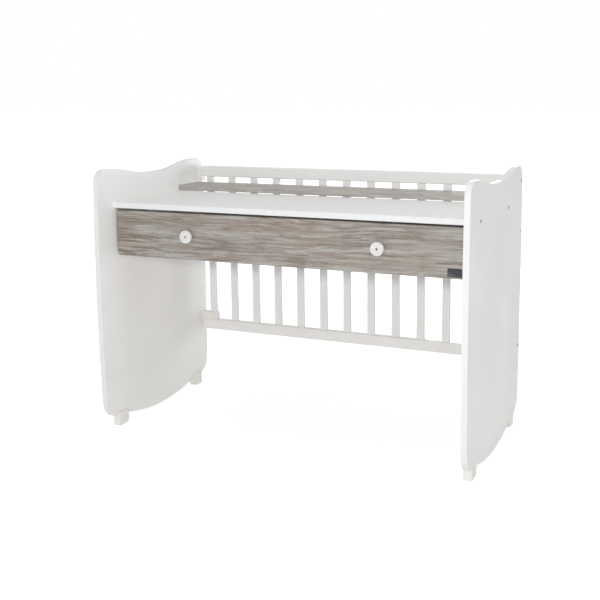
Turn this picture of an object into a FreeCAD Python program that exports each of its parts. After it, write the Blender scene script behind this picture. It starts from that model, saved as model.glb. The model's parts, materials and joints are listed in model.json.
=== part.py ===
"""Convertible crib set up as a desk: two end panels, desktop with a drawer, shelf and slatted crib side.

Millimetres. X runs along the length, the drawer opens towards -Y, Z is up and the floor is Z = 0.
"""
import FreeCAD, Part
import os
import re
import Sketcher

os.makedirs("parts", exist_ok=True)
doc = FreeCAD.newDocument("convertible_crib")

# Driving sizes
SIZES = {
    # end panels
    "inner_length": 1200,
    "panel_thick": 18,
    "hump_z": 863,
    "hump_y": 212,
    "dip_depth": 26,
    "dip_y": 78,
    "sway_radius": 500,
    "top_corner_y": 316,
    "top_radius": 40,
    "side_radius": 8200,
    "low_corner_y": 315,
    "low_corner_z": 27,
    "low_radius": 60,
    "rocker_low": 3,
    "rocker_radius": 800,
    "rocker_reach": 232,
    "edge_ease": 1.2,
    # feet
    "foot_near": 213,
    "foot_length": 50,
    "foot_thick": 25,
    "foot_round": 14,
    "foot_fit": 0.2,
    "notch_z": 46,
    "notch_slant": 14,
    "foot_sink": 16,
    # desktop
    "desk_front": 243,
    "desk_back": 150,
    "desk_drop": 109,
    "desk_thick": 18,
    "desk_bolt_inset": 36,
    "desk_back_inset": 19,
    # shelf
    "shelf_front": 154,
    "shelf_depth": 138,
    "shelf_thick": 18,
    "shelf_lift": 2,
    "shelf_dowel_inset": 32,
    # slatted crib side
    "rail_front": 294,
    "rail_thick": 20,
    "rail_height": 40,
    "rail_drop": 69,
    "low_rail_z": 207,
    "rail_ease": 3,
    "slat_count": 13,
    "slat_wide": 28,
    "slat_thick": 12,
    "slat_sink": 12,
    "slat_fit": 0.1,
    "slat_ease": 2,
    "pad_thick": 12,
    "pad_depth": 26,
    "pad_height": 50,
    "pad_drop": 16,
    "pad_ease": 2,
    "socket_wall": 4,
    "socket_plate": 8,
    "socket_height": 28,
    "socket_screw_inset": 20,
    # bolts, screws and dowels
    "peg_sides": 8,
    "bolt_sides": 12,
    "bolt_radius": 3,
    "bolt_length": 60,
    "socket_bolt_length": 46,
    "bolt_head_radius": 6,
    "bolt_head": 3,
    "spare_radius": 4,
    "spare_drop": 215,
    "screw_radius": 2,
    "screw_head_radius": 4,
    "screw_head": 2.2,
    "screw_fit": 0.1,
    "foot_screw_length": 56,
    "socket_screw_length": 46,
    "dowel_radius": 4,
    "dowel_length": 30,
    "dowel_sink": 12,
    # drawer
    "drawer_setback": 12,
    "drawer_side_gap": 4,
    "drawer_top_gap": 8,
    "front_height": 149,
    "front_thick": 16,
    "front_corner": 9,
    "box_rise": 16,
    "box_length": 350,
    "box_height": 100,
    "box_thick": 12,
    "base_thick": 3,
    "base_rise": 12,
    "groove_deep": 6,
    "groove_fit": 0.2,
    "cam_radius": 7.5,
    "cam_deep": 9,
    "cam_inset": 24,
    "cam_bolt_sink": 10,
    "drawer_dowel_sink": 10,
    "drawer_dowel_rise": 26,
    "back_screw_length": 34,
    "back_screw_inset": 22,
    # knobs
    "knob_x": 323,
    "knob_rise": 76,
    "knob_radius": 21,
    "knob_thick": 12,
    "knob_neck": 10,
    "knob_neck_radius": 9,
    "knob_recess": 5,
    "knob_recess_radius": 3.4,
    "knob_head_radius": 3,
    "knob_screw_length": 28,
    # drawer runners
    "runner_room": 12.5,
    "runner_gauge": 1.2,
    "runner_wide": 10.6,
    "runner_front_gap": 2,
    "track_rise": 1,
    "roll_gap": 0.3,
    "lip_gap": 0.9,
    "rear_roller_radius": 10,
    "front_roller_radius": 8,
    "front_roller_lift": 0.9,
    "roller_wide": 7.5,
    "front_roller_inset": 13,
    "rear_roller_inset": 12,
    "axle_radius": 3,
    "axle_head_radius": 4.5,
    "axle_head": 0.7,
    "axle_fit": 0.08,
    "roller_side_gap": 0.2,
    "flange_end_gap": 1.4,
    "flange_back_cut": 32,
    "runner_screw_length": 14,
    "runner_screw_head": 0.6,
    "runner_screw_inset": 40,
    "angle_screw_front": 40,
    "angle_screw_back": 80,
    "angle_screw_cover": 3,
}

sheet = doc.addObject("Spreadsheet::Sheet", "Sizes")
for row, (alias, value) in enumerate(SIZES.items(), start=1):
    sheet.set("A%d" % row, alias)
    sheet.set("B%d" % row, str(value))
    sheet.setAlias("B%d" % row, alias)
doc.recompute()

WORD = re.compile(r"[a-z][a-z_]*")
FLAT = FreeCAD.Rotation()
TURNS = {
    "+X": FreeCAD.Rotation(FreeCAD.Vector(0, 1, 0), 90),
    "-X": FreeCAD.Rotation(FreeCAD.Vector(0, 1, 0), -90),
    "+Y": FreeCAD.Rotation(FreeCAD.Vector(1, 0, 0), -90),
    "-Y": FreeCAD.Rotation(FreeCAD.Vector(1, 0, 0), 90),
    "+Z": FLAT,
    "-Z": FreeCAD.Rotation(FreeCAD.Vector(1, 0, 0), 180),
}


def size(alias):
    """The value that the sheet holds for one size."""
    return float(sheet.get(alias))


def bind(obj, path, text):
    """Bind a property to an expression in the sheet's own words."""
    obj.setExpression(path, WORD.sub(lambda word: "Sizes." + word.group(), text))


def place(obj, at, turn=FLAT):
    """Put an object at a point given as three expressions."""
    obj.Placement = FreeCAD.Placement(FreeCAD.Vector(0, 0, 0), turn)
    for axis, text in zip("xyz", at):
        bind(obj, ".Placement.Base." + axis, text)
    return obj


def box(name, lengths, at):
    """A plain block."""
    obj = doc.addObject("Part::Box", name)
    for path, text in zip(("Length", "Width", "Height"), lengths):
        bind(obj, path, text)
    return place(obj, at)


def rod(name, radius, length, at, along):
    """A round bar that starts at a point and runs along one axis."""
    obj = doc.addObject("Part::Cylinder", name)
    bind(obj, "Radius", radius)
    bind(obj, "Height", length)
    return place(obj, at, TURNS[along])


def peg(name, radius, length, at, along, sides="peg_sides"):
    """A bar like a rod, but with few sides: hidden fasteners and their holes."""
    obj = doc.addObject("Part::Prism", name)
    bind(obj, "Polygon", sides)
    bind(obj, "Circumradius", radius)
    bind(obj, "Height", length)
    return place(obj, at, TURNS[along])


def drum(name, radius, length, at, along):
    """A peg with more sides: heads that show, and their seats."""
    return peg(name, radius, length, at, along, "bolt_sides")


def group(name, pieces):
    """Several separate solids in one object."""
    obj = doc.addObject("Part::Compound", name)
    obj.Links = pieces
    return obj


def fuse(name, pieces):
    """Several solids made one."""
    obj = doc.addObject("Part::MultiFuse", name)
    obj.Shapes = pieces
    obj.Refine = True
    return obj


def cut(name, base, tools):
    """A solid with other shapes taken out of it."""
    obj = doc.addObject("Part::Cut", name)
    obj.Base = base
    obj.Tool = tools[0] if len(tools) == 1 else group(name + "_tools", tools)
    return obj


def plane_of(body, role):
    """One of a body's own origin planes."""
    return next(item for item in body.Origin.OriginFeatures if item.Role == role)


def sketch_on(body, role, name):
    """An empty sketch on an origin plane."""
    sketch = body.newObject("Sketcher::SketchObject", name)
    sketch.AttachmentSupport = [(plane_of(body, role), "")]
    sketch.MapMode = "FlatFace"
    return sketch


def pin(sketch, edge, end, across, up):
    """Hold one end of a sketch edge at a point given as two expressions."""
    point = sketch.getPoint(edge, end)
    for kind, drawn, text in (("DistanceX", point.x, across), ("DistanceY", point.y, up)):
        index = sketch.addConstraint(Sketcher.Constraint(kind, -1, 1, edge, end, drawn))
        bind(sketch, "Constraints[%d]" % index, text)


def join(sketch, first, second):
    """Let one sketch edge start where another ends."""
    sketch.addConstraint(Sketcher.Constraint("Coincident", first, 2, second, 1))


def polygon(sketch, points):
    """A closed outline of straight edges through points given as pairs of expressions."""
    count = len(points)
    ring = [FreeCAD.Rotation(FreeCAD.Vector(0, 0, 1), 360.0 * k / count) for k in range(count)]
    start = [turn.multVec(FreeCAD.Vector(50, 0, 0)) for turn in ring]
    edges = [sketch.addGeometry(Part.LineSegment(start[k], start[(k + 1) % count])) for k in range(count)]
    for k in range(count):
        join(sketch, edges[k - 1], edges[k])
    for edge, (across, up) in zip(edges, points):
        pin(sketch, edge, 1, across, up)


def edges_where(feature, test):
    """The names of a feature's edges that pass a test."""
    return ["Edge%d" % k for k, edge in enumerate(feature.Shape.Edges, start=1) if test(edge)]


def runs_along(edge, axis):
    """Whether an edge is straight and lies along one axis."""
    step = edge.Vertexes[-1].Point - edge.Vertexes[0].Point
    length = step.Length
    return edge.Curve.TypeId == "Part::GeomLine" and length > 0 and abs(abs(step.dot(axis)) - length) < 1e-6


def dress(body, kind, feature, names, radius):
    """Fillet or chamfer named edges or faces of a body's last feature."""
    result = body.newObject("PartDesign::" + kind, kind)
    result.Base = (feature, names)
    bind(result, "Radius" if kind == "Fillet" else "Size", radius)
    doc.recompute()
    return result


def board(name, lengths, at, along, ease):
    """A block whose long edges, those along one axis, are eased."""
    body = doc.addObject("PartDesign::Body", name)
    block = body.newObject("PartDesign::AdditiveBox", name + "_block")
    for path, text in zip(("Length", "Width", "Height"), lengths):
        bind(block, path, text)
    doc.recompute()
    dress(body, "Chamfer", block, edges_where(block, lambda edge: runs_along(edge, along)), ease)
    return place(body, at)


def headed(name, head_bar, sizes, at, along, fit):
    """A fastener whose head starts at a point and whose shank runs on along one axis."""
    radius, length, head_radius, head = sizes
    shank = peg(name + "_shank", radius + " + " + fit, length, at, along)
    top = head_bar(name + "_head", head_radius + " + " + fit, head, at, along)
    return fuse(name, [shank, top])


def screw(name, length, at, along, fit):
    """A small screw."""
    return headed(name, peg, ("screw_radius", length, "screw_head_radius", "screw_head"), at, along, fit)


X_AXIS = FreeCAD.Vector(1, 0, 0)
Y_AXIS = FreeCAD.Vector(0, 1, 0)
Z_AXIS = FreeCAD.Vector(0, 0, 1)
SIDES = (("left", "-", "+"), ("right", "+", "-"))
ENDS = (("front", "-"), ("back", "+"))

nodes = {}


def keep(name, obj):
    """Name an object as one finished sub-part."""
    obj.Label = name
    nodes[name] = obj


# Derived places, as expressions
half = "(inner_length / 2)"
desk_top = "(hump_z - desk_drop)"
desk_low = "(%s - desk_thick)" % desk_top
shelf_low = "(%s + shelf_lift)" % desk_top
rail_mid = "(rail_front + rail_thick / 2)"
top_rail_low = "(hump_z - rail_drop)"
low_rail_top = "(low_rail_z + rail_height)"
slat_pitch = "(inner_length / slat_count)"
socket_length = "(%s / 2 + slat_wide / 2 + socket_wall)" % slat_pitch
front_face = "(drawer_setback - desk_front)"
front_back = "(drawer_setback - desk_front + front_thick)"
front_low = "(%s - drawer_top_gap - front_height)" % desk_low
box_low = "(%s + box_rise)" % front_low
box_half = "(inner_length / 2 - runner_room)"
box_back = "(%s + box_length)" % front_back
base_low = "(%s + base_rise)" % box_low
base_top = "(%s + base_rise + base_thick)" % box_low
track = "(%s + track_rise)" % box_low
rear_axis_z = "(%s + roll_gap + rear_roller_radius)" % track
lip_low = "(%s + roll_gap + 2 * rear_roller_radius + lip_gap)" % track
front_axis_z = "(%s + front_roller_lift + front_roller_radius)" % track
flange_low = "(%s + front_roller_radius + roll_gap)" % front_axis_z
runner_front = "(%s + runner_front_gap)" % front_back
runner_length = "(box_length - runner_front_gap)"
front_roller_y = "(%s + front_roller_inset)" % runner_front
rear_roller_y = "(%s - rear_roller_inset)" % box_back
knob_z = "(%s + knob_rise)" % front_low


def mirrored(sign, text):
    """An X place measured from the middle, on the left or the right."""
    return "%s(%s)" % ("-" if sign == "-" else "", text)


def inset(sign, depth):
    """An X place measured inwards from an end panel's inner face."""
    return mirrored(sign, "%s - (%s)" % (half, depth))


def profile_bar(name, points, start, length):
    """A section drawn across X and Z and run along Y."""
    body = doc.addObject("PartDesign::Body", name)
    sketch = sketch_on(body, "XZ_Plane", "section")
    polygon(sketch, points)
    pad = body.newObject("PartDesign::Pad", "run")
    pad.Profile = sketch
    pad.Reversed = True
    bind(pad, "Length", length)
    return place(body, ("0", start, "0"))


# Bolts through the end panels
desk_mid = "(%s + desk_thick / 2)" % desk_low
bolt_rows = (
    ("desk_front", "desk_bolt_inset - desk_front", desk_mid, "bolt_length"),
    ("desk_back", "desk_back - desk_back_inset", desk_mid, "bolt_length"),
    ("top_rail", rail_mid, top_rail_low + " + rail_height / 2", "bolt_length"),
    ("low_rail", rail_mid, low_rail_top + " + socket_height / 2", "socket_bolt_length"),
)


def bolt(name, length, at, along, fit):
    return headed(name, drum, ("bolt_radius", length, "bolt_head_radius", "bolt_head"), at, along, fit)


bolts = []
bolt_holes = {}
for side, out, inward in SIDES:
    for row, y, z, length in bolt_rows:
        at = (mirrored(out, half + " + panel_thick"), y, z)
        name = "bolt_%s_%s" % (side, row)
        bolts.append(bolt(name, length, at, inward + "X", "0"))
        bolt_holes[side, row] = bolt(name + "_hole", length, at, inward + "X", "screw_fit")
keep("panel_bolts", group("panel_bolts", bolts))


# Dowels that hold the shelf
def shelf_dowel(name, out, inward, y, fit):
    x = mirrored(out, half + " + dowel_sink")
    z = shelf_low + " + shelf_thick / 2"
    return peg(name, "dowel_radius + " + fit, "dowel_length", (x, y, z), inward + "X")


shelf_rows = (
    ("front", "shelf_front + shelf_dowel_inset"),
    ("back", "shelf_front + shelf_depth - shelf_dowel_inset"),
)
shelf_dowels = []
shelf_holes = {"left": [], "right": []}
for side, out, inward in SIDES:
    for row, y in shelf_rows:
        name = "shelf_dowel_%s_%s" % (side, row)
        shelf_dowels.append(shelf_dowel(name, out, inward, y, "0"))
        shelf_holes[side].append(shelf_dowel(name + "_hole", out, inward, y, "screw_fit"))
keep("shelf_dowels", group("shelf_dowels", shelf_dowels))


# Feet and their screws
def foot_middle(sign):
    return mirrored(sign, "foot_near + foot_length / 2")


def foot_screw(name, out, sign, fit):
    at = (mirrored(out, half + " + panel_thick / 2"), foot_middle(sign), "foot_sink")
    return screw(name, "foot_screw_length", at, "+Z", fit)


def foot(name, out, sign):
    """A block as tall as its notch, rounded at the lower corner towards the middle."""
    body = doc.addObject("PartDesign::Body", name + "_body")
    block = body.newObject("PartDesign::AdditiveBox", name + "_block")
    bind(block, "Length", "foot_thick")
    bind(block, "Width", "foot_length - 2 * foot_fit")
    bind(block, "Height", "notch_z")
    doc.recompute()
    inner_y = block.Shape.BoundBox.YMin if sign == "+" else block.Shape.BoundBox.YMax

    def inner_low(edge):
        centre = edge.CenterOfMass
        return runs_along(edge, X_AXIS) and abs(centre.z) < 1e-6 and abs(centre.y - inner_y) < 1e-6

    dress(body, "Fillet", block, edges_where(block, inner_low), "foot_round")
    x = mirrored(out, half + " + panel_thick" + (" - foot_thick" if out == "+" else ""))
    y = "foot_near + foot_fit" if sign == "+" else "foot_fit - foot_near - foot_length"
    place(body, (x, y, "0"))
    well = peg(
        name + "_well",
        "screw_head_radius + screw_fit",
        "foot_sink",
        (mirrored(out, half + " + panel_thick / 2"), foot_middle(sign), "0"),
        "+Z",
    )
    return cut(name, body, [well, foot_screw(name + "_screw_hole", out, sign, "screw_fit")])


foot_screws = []
foot_holes = {"left": [], "right": []}
for side, out, inward in SIDES:
    for end, sign in ENDS:
        name = "foot_%s_%s" % (end, side)
        keep(name, foot(name, out, sign))
        foot_screws.append(foot_screw(name + "_screw", out, sign, "0"))
        foot_holes[side].append(foot_screw(name + "_panel_hole", out, sign, "screw_fit"))
keep("foot_screws", group("foot_screws", foot_screws))


# Runner screws, with thin heads let into the channel's web
def runner_screw(name, out, y, fit):
    at = (mirrored(out, half + " - runner_gauge"), y, "(%s + %s) / 2" % (track, lip_low))
    sizes = ("screw_radius", "runner_screw_length", "screw_head_radius", "runner_screw_head")
    return headed(name, peg, sizes, at, out + "X", fit)


runner_rows = (
    ("front", "%s + runner_screw_inset" % runner_front),
    ("middle", "%s + %s / 2" % (runner_front, runner_length)),
    ("back", "%s + %s - runner_screw_inset" % (runner_front, runner_length)),
)
runner_screws = []
runner_holes = {"left": [], "right": []}
for side, out, inward in SIDES:
    for row, y in runner_rows:
        name = "runner_screw_%s_%s" % (side, row)
        runner_screws.append(runner_screw(name, out, y, "0"))
        runner_holes[side].append(runner_screw(name + "_hole", out, y, "screw_fit"))
keep("runner_screws", group("runner_screws", runner_screws))


# End panels
def draw_panel(body):
    """The panel's outline: rocker arc below, bowed sides, two humps and a dip on top."""
    sketch = sketch_on(body, "YZ_Plane", "outline")
    reach = size("rocker_reach")
    rocker_centre = size("rocker_low") + size("rocker_radius")
    low = (size("low_corner_y"), size("low_corner_z"))
    top = (size("top_corner_y"), size("hump_z"))
    hump = (size("hump_y"), size("hump_z"))
    dip = (size("dip_y"), size("hump_z") - size("dip_depth"))
    rocker_end = (reach, rocker_centre - (size("rocker_radius") ** 2 - reach ** 2) ** 0.5)
    bow = (top[1] - low[1]) ** 2 / 8 / size("side_radius")
    middle = ((low[0] + top[0]) / 2 + bow, (low[1] + top[1]) / 2)

    def at(point, sign=1):
        return FreeCAD.Vector(sign * point[0], point[1], 0)

    def arc(first, through, last):
        return sketch.addGeometry(Part.Arc(first, through, last))

    def line(first, last):
        return sketch.addGeometry(Part.LineSegment(first, last))

    rocker = arc(at(rocker_end, -1), at((0, size("rocker_low"))), at(rocker_end))
    low_right = line(at(rocker_end), at(low))
    side_right = arc(at(low), at(middle), at(top))
    hump_right = line(at(top), at(hump))
    sway_right = line(at(hump), at(dip))
    dip_line = line(at(dip), at(dip, -1))
    sway_left = line(at(dip, -1), at(hump, -1))
    hump_left = line(at(hump, -1), at(top, -1))
    side_left = arc(at(top, -1), at(middle, -1), at(low, -1))
    low_left = line(at(low, -1), at(rocker_end, -1))
    chain = [
        rocker, low_right, side_right, hump_right, sway_right,
        dip_line, sway_left, hump_left, side_left, low_left,
    ]
    for first, second in zip(chain, chain[1:] + chain[:1]):
        join(sketch, first, second)
    pin(sketch, low_right, 2, "low_corner_y", "low_corner_z")
    pin(sketch, hump_right, 1, "top_corner_y", "hump_z")
    pin(sketch, sway_right, 1, "hump_y", "hump_z")
    pin(sketch, dip_line, 1, "dip_y", "hump_z - dip_depth")
    for first, second in (
        ((low_right, 2), (low_left, 1)),
        ((hump_right, 1), (side_left, 1)),
        ((sway_right, 1), (hump_left, 1)),
        ((dip_line, 1), (dip_line, 2)),
    ):
        sketch.addConstraint(Sketcher.Constraint("Symmetric", *first, *second, -2))
    sketch.addConstraint(Sketcher.Constraint("Equal", side_right, side_left))
    radius = sketch.addConstraint(Sketcher.Constraint("Radius", side_right, size("side_radius")))
    bind(sketch, "Constraints[%d]" % radius, "side_radius")
    radius = sketch.addConstraint(Sketcher.Constraint("Radius", rocker, size("rocker_radius")))
    bind(sketch, "Constraints[%d]" % radius, "rocker_radius")
    pin(sketch, rocker, 3, "0", "rocker_low + rocker_radius")
    for first, second in (((-1, 1), (rocker, 2)), ((rocker, 1), (-1, 1))):
        half_width = sketch.addConstraint(Sketcher.Constraint("DistanceX", *first, *second, reach))
        bind(sketch, "Constraints[%d]" % half_width, "rocker_reach")
    return sketch


def corner_edges(feature, y, z):
    """The edges through the board at one corner and its mirror image."""

    def is_corner(edge):
        centre = edge.CenterOfMass
        return runs_along(edge, X_AXIS) and abs(abs(centre.y) - y) < 1e-4 and abs(centre.z - z) < 1e-4

    return edges_where(feature, is_corner)


def panel_body(name):
    body = doc.addObject("PartDesign::Body", name)
    outline = draw_panel(body)
    pad = body.newObject("PartDesign::Pad", "board")
    pad.Profile = outline
    bind(pad, "Length", "panel_thick")
    doc.recompute()
    shape = pad
    top = size("hump_z")
    for y, z, radius in (
        ("hump_y", top, "sway_radius"),
        ("dip_y", top - size("dip_depth"), "sway_radius"),
        ("top_corner_y", top, "top_radius"),
        ("low_corner_y", size("low_corner_z"), "low_radius"),
    ):
        shape = dress(body, "Fillet", shape, corner_edges(shape, size(y), z), radius)
    return body


def notch_tool(name, x, sign):
    """The slanted notch that a foot stands in."""
    body = doc.addObject("PartDesign::Body", name)
    sketch = sketch_on(body, "YZ_Plane", "notch")
    near = mirrored(sign, "foot_near")
    far = mirrored(sign, "foot_near + foot_length")
    slant = mirrored(sign, "foot_near + foot_length + notch_slant")
    polygon(sketch, [(near, "0"), (slant, "0"), (far, "notch_z"), (near, "notch_z")])
    pad = body.newObject("PartDesign::Pad", "depth")
    pad.Profile = sketch
    bind(pad, "Length", "panel_thick")
    return place(body, (x, "0", "0"))


for side, out, inward in SIDES:
    name = side + "_end_panel"
    x = half if out == "+" else "-(%s + panel_thick)" % half
    body = place(panel_body(name + "_board"), (x, "0", "0"))
    tools = [notch_tool("%s_%s_notch" % (name, end), x, sign) for end, sign in ENDS]
    tools += [bolt_holes[side, row] for row, y, z, length in bolt_rows]
    tools += shelf_holes[side] + foot_holes[side] + runner_holes[side]
    spare = (mirrored(out, half + (" + panel_thick" if out == "-" else "")), rail_mid, "hump_z - spare_drop")
    tools.append(rod(name + "_spare_hole", "spare_radius", "panel_thick", spare, "+X"))
    keep(name, cut(name, body, tools))


# Desktop and shelf
desk_body = board(
    "desktop_board",
    ("inner_length", "desk_front + desk_back", "desk_thick"),
    ("-" + half, "-desk_front", desk_low),
    X_AXIS,
    "edge_ease",
)
desk_holes = [bolt_holes[side, row] for side in ("left", "right") for row in ("desk_front", "desk_back")]
keep("desktop", cut("desktop", desk_body, desk_holes))

shelf_body = board(
    "back_shelf_board",
    ("inner_length", "shelf_depth", "shelf_thick"),
    ("-" + half, "shelf_front", shelf_low),
    X_AXIS,
    "edge_ease",
)
keep("back_shelf", cut("back_shelf", shelf_body, shelf_holes["left"] + shelf_holes["right"]))


# Slatted crib side
def slat_x(index):
    """The left side of one slat."""
    return "%d * %s - %s + %s / 2 - slat_wide / 2" % (index, slat_pitch, half, slat_pitch)


slat_y = "(%s - slat_thick / 2)" % rail_mid
slat_low = "(%s - slat_sink)" % low_rail_top
slat_high = "(%s + slat_sink)" % top_rail_low


def mortise(name, index, z):
    return box(
        name,
        ("slat_wide + 2 * slat_fit", "slat_thick + 2 * slat_fit", "slat_sink"),
        (slat_x(index) + " - slat_fit", slat_y + " - slat_fit", z),
    )


slats = range(int(size("slat_count")))
for index in slats:
    lengths = ("slat_wide", "slat_thick", "%s - %s" % (slat_high, slat_low))
    body = board("slat_%d" % index, lengths, (slat_x(index), slat_y, slat_low), Z_AXIS, "slat_ease")
    keep("slat_%02d" % (index + 1), body)

top_rail_body = board(
    "top_rail_board",
    ("inner_length - 2 * pad_thick", "rail_thick", "rail_height"),
    ("pad_thick - " + half, "rail_front", top_rail_low),
    X_AXIS,
    "rail_ease",
)
top_tools = [mortise("top_mortise_%d" % index, index, top_rail_low) for index in slats]
top_tools += [bolt_holes[side, "top_rail"] for side in ("left", "right")]
keep("top_rail", cut("top_rail", top_rail_body, top_tools))


# Plastic pads at the top rail and sockets on the bottom rail
def socket_screw(name, out, fit):
    """A screw up through the bottom rail into its socket."""
    at = (inset(out, "socket_screw_inset"), rail_mid, "low_rail_z")
    return screw(name, "socket_screw_length", at, "+Z", fit)


def rail_socket(name, out):
    """A block on the rail's end, with a plate between the rail and the panel."""
    top = low_rail_top + " + socket_height"
    return profile_bar(
        name,
        [
            (inset(out, "0"), "low_rail_z"),
            (inset(out, "0"), top),
            (inset(out, socket_length + " - pad_ease"), top),
            (inset(out, socket_length), top + " - pad_ease"),
            (inset(out, socket_length), low_rail_top),
            (inset(out, "socket_plate"), low_rail_top),
            (inset(out, "socket_plate"), "low_rail_z"),
        ],
        "rail_front",
        "rail_thick",
    )


socket_screws = []
socket_holes = []
for side, out, inward in SIDES:
    pad_x = half + " - pad_thick" if out == "+" else "-" + half
    pad = board(
        "rail_pad_%s_block" % side,
        ("pad_thick", "pad_depth", "pad_height"),
        (pad_x, rail_mid + " - pad_depth / 2", top_rail_low + " - pad_drop"),
        X_AXIS,
        "pad_ease",
    )
    keep("rail_pad_" + side, cut("rail_pad_" + side, pad, [bolt_holes[side, "top_rail"]]))

    name = "rail_socket_" + side
    slot = box(
        name + "_slot",
        ("slat_wide + 2 * slat_fit", "slat_thick + 2 * slat_fit", "socket_height"),
        (slat_x(0 if side == "left" else slats[-1]) + " - slat_fit", slat_y + " - slat_fit", low_rail_top),
    )
    hole = socket_screw(name + "_screw_hole", out, "screw_fit")
    keep(name, cut(name, rail_socket(name + "_block", out), [slot, hole, bolt_holes[side, "low_rail"]]))
    socket_screws.append(socket_screw(name + "_screw", out, "0"))
    socket_holes.append(hole)
keep("socket_screws", group("socket_screws", socket_screws))

low_rail_body = board(
    "bottom_rail_board",
    ("inner_length - 2 * socket_plate", "rail_thick", "rail_height"),
    ("socket_plate - " + half, "rail_front", "low_rail_z"),
    X_AXIS,
    "rail_ease",
)
low_tools = [mortise("low_mortise_%d" % index, index, slat_low) for index in slats]
keep("bottom_rail", cut("bottom_rail", low_rail_body, low_tools + socket_holes))


# Drawer fittings: cams, cam bolts, dowels and screws
box_mid_z = "(%s + box_height / 2)" % box_low
side_mid_x = "%s - box_thick / 2" % box_half
dowel_rows = (
    ("low", "%s + drawer_dowel_rise" % box_low),
    ("high", "%s + box_height - drawer_dowel_rise" % box_low),
)
back_rows = (
    ("low", "%s + back_screw_inset" % base_top),
    ("high", "%s + box_height - back_screw_inset" % box_low),
)


def cam(name, out, fit):
    """A round locking cam let into the inner face of a drawer side."""
    at = (mirrored(out, box_half + " - box_thick"), front_back + " + cam_inset", box_mid_z)
    return drum(name, "cam_radius + " + fit, "cam_deep", at, out + "X")


def cam_bolt(name, out, fit):
    """The bolt that a cam draws in, screwed into the drawer front."""
    at = (mirrored(out, side_mid_x), front_back + " - cam_bolt_sink", box_mid_z)
    return peg(name, "bolt_radius + " + fit, "cam_bolt_sink + cam_inset - cam_radius", at, "+Y")


def drawer_dowel(name, out, z, fit):
    at = (mirrored(out, side_mid_x), front_back + " - drawer_dowel_sink", z)
    return peg(name, "dowel_radius + " + fit, "dowel_length", at, "+Y")


def back_screw(name, out, inward, z, fit):
    at = (mirrored(out, box_half), box_back + " - box_thick / 2", z)
    return screw(name, "back_screw_length", at, inward + "X", fit)


def angle_screw(name, out, y, fit):
    """A screw up through the drawer angle into the drawer side."""
    at = (mirrored(out, side_mid_x), y, box_low + " - runner_gauge - screw_head")
    return screw(name, "screw_head + runner_gauge + base_rise - angle_screw_cover", at, "+Z", fit)


angle_rows = (
    ("front", "%s + angle_screw_front" % front_back),
    ("back", "%s - angle_screw_back" % box_back),
)
fitting_names = ("drawer_cams", "cam_bolts", "drawer_dowels", "drawer_back_screws", "angle_screws")
fittings = {name: [] for name in fitting_names}
side_holes = {}
front_holes = []
back_holes = []
angle_holes = {}
for side, out, inward in SIDES:
    fittings["drawer_cams"].append(cam("cam_" + side, out, "0"))
    fittings["cam_bolts"].append(cam_bolt("cam_bolt_" + side, out, "0"))
    side_holes[side] = [cam("cam_hole_" + side, out, "screw_fit")]
    bolt_way = cam_bolt("cam_bolt_hole_" + side, out, "screw_fit")
    side_holes[side].append(bolt_way)
    front_holes.append(bolt_way)
    for row, z in dowel_rows:
        name = "drawer_dowel_%s_%s" % (side, row)
        fittings["drawer_dowels"].append(drawer_dowel(name, out, z, "0"))
        hole = drawer_dowel(name + "_hole", out, z, "screw_fit")
        side_holes[side].append(hole)
        front_holes.append(hole)
    for row, z in back_rows:
        name = "back_screw_%s_%s" % (side, row)
        fittings["drawer_back_screws"].append(back_screw(name, out, inward, z, "0"))
        hole = back_screw(name + "_hole", out, inward, z, "screw_fit")
        side_holes[side].append(hole)
        back_holes.append(hole)
    angle_holes[side] = []
    for row, y in angle_rows:
        name = "angle_screw_%s_%s" % (side, row)
        fittings["angle_screws"].append(angle_screw(name, out, y, "0"))
        hole = angle_screw(name + "_hole", out, y, "screw_fit")
        side_holes[side].append(hole)
        angle_holes[side].append(hole)
for name, pieces in fittings.items():
    keep(name, group(name, pieces))


# Drawer box
groove = box(
    "drawer_groove",
    (
        "2 * (%s - box_thick + groove_deep + groove_fit)" % box_half,
        "box_length + groove_deep + groove_fit",
        "base_thick + 2 * groove_fit",
    ),
    (
        "-(%s - box_thick + groove_deep + groove_fit)" % box_half,
        front_back + " - groove_deep - groove_fit",
        base_low + " - groove_fit",
    ),
)
keep(
    "drawer_bottom",
    box(
        "drawer_bottom",
        ("2 * (%s - box_thick + groove_deep)" % box_half, "box_length + groove_deep", "base_thick"),
        ("-(%s - box_thick + groove_deep)" % box_half, front_back + " - groove_deep", base_low),
    ),
)
for side, out, inward in SIDES:
    x = box_half + " - box_thick" if out == "+" else "-" + box_half
    block = box("drawer_%s_board" % side, ("box_thick", "box_length", "box_height"), (x, front_back, box_low))
    name = "drawer_%s_side" % side
    keep(name, cut(name, block, [groove] + side_holes[side]))
back_block = box(
    "drawer_back_board",
    ("2 * (%s - box_thick)" % box_half, "box_thick", "box_height - base_rise - base_thick"),
    ("-(%s - box_thick)" % box_half, box_back + " - box_thick", base_top),
)
keep("drawer_back", cut("drawer_back", back_block, back_holes))


# Drawer front, knobs and knob screws
def knob_screw(name, out, fit):
    y = front_face + " - knob_neck - knob_thick + knob_recess"
    sizes = ("screw_radius", "knob_screw_length", "knob_head_radius", "screw_head")
    return headed(name, peg, sizes, (mirrored(out, "knob_x"), y, knob_z), "+Y", fit)


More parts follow.
